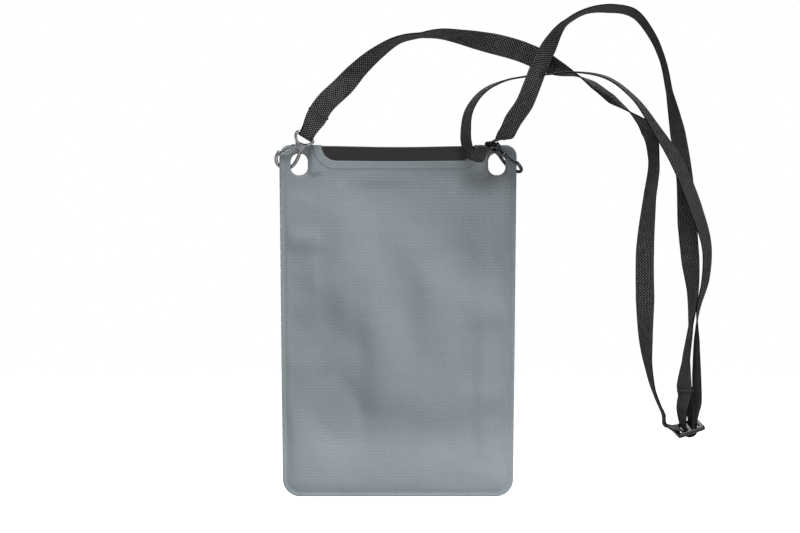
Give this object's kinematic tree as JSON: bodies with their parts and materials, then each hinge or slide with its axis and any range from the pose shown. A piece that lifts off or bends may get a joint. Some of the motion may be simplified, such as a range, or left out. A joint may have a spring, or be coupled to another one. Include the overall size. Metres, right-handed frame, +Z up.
{
  "type": "flat waterproof document pouch with carrying strap",
  "caption": "Flat welded fabric pouch with a magnetic seal mouth, slotted ears, and a webbing strap that clips on with sprung snap hooks.",
  "frame": {"origin": "middle of the flat back face of the pouch", "axes": "+Z up towards the mouth, +X along the mouth towards the strap's slider, -Y out of the visible face, +Y out of the back face"},
  "size_m": [0.31, 0.0328, 0.3485],
  "materials": {
    "coated_fabric": "matt coated ripstop",
    "seal_rubber": "satin",
    "magnet": "plated",
    "webbing": "woven",
    "thread": "stitched",
    "slider_plastic": "satin gloss",
    "hook_metal": "dark nickel",
    "pin_metal": "turned",
    "spring_steel": "drawn wire"
  },
  "bodies": {
    "pouch": {"back_panel": "coated_fabric", "front_panel": "coated_fabric", "back_seal_strip": "seal_rubber", "back_seal_magnets": "magnet", "strap_webbing": "webbing"},
    "mouth_lip": {"front_seal_strip": "seal_rubber", "front_seal_magnets": "magnet"},
    "left_hook": {"left_hook_body": "hook_metal", "left_hook_pin": "pin_metal", "left_hook_spring": "spring_steel", "hook_end_bartack": "thread"},
    "left_gate": {"left_hook_gate": "hook_metal"},
    "right_hook": {"right_hook_body": "hook_metal", "right_hook_pin": "pin_metal", "right_hook_spring": "spring_steel"},
    "right_gate": {"right_hook_gate": "hook_metal"},
    "slider": {"strap_slider": "slider_plastic", "slider_end_bartack": "thread"}
  },
  "joints": [
    {"name": "mouth_open", "type": "hinge", "parent": "pouch", "child": "mouth_lip", "pos_m": [0, -0.0054, 0.10775], "axis": [1, 0, 0], "range_deg": [0, 30], "stiffness_Nm_per_rad": 0.02, "deforming": ["front_panel", "strap_webbing"]},
    {"name": "left_hook_swing", "type": "hinge", "parent": "pouch", "child": "left_hook", "pos_m": [-0.07942, -0.00487, 0.1144], "axis": [0, -0.891, -0.454], "range_deg": [-12, 12], "deforming": ["strap_webbing"]},
    {"name": "left_gate_open", "type": "hinge", "parent": "left_hook", "child": "left_gate", "pos_m": [-0.07405, -0.00914, 0.12278], "axis": [0, -0.891, -0.454], "range_deg": [0, 14], "stiffness_Nm_per_rad": 0.002, "springref_deg": -22.92, "deforming": ["strap_webbing"]},
    {"name": "right_hook_swing", "type": "hinge", "parent": "pouch", "child": "right_hook", "pos_m": [0.08, -0.0045, 0.11], "axis": [0, 1, 0], "range_deg": [-10, 0], "deforming": ["strap_webbing"]},
    {"name": "right_gate_open", "type": "hinge", "parent": "right_hook", "child": "right_gate", "pos_m": [0.07491, -0.01173, 0.1174], "axis": [0.5402, 0.3793, 0.7512], "range_deg": [0, 12], "stiffness_Nm_per_rad": 0.002, "springref_deg": -22.92, "deforming": ["strap_webbing"]},
    {"name": "slider_adjust", "type": "slide", "parent": "pouch", "child": "slider", "axis": [0.9406, 0.1152, 0.3195], "range_m": [-0.003, 0.003], "deforming": ["strap_webbing"]}
  ]
}
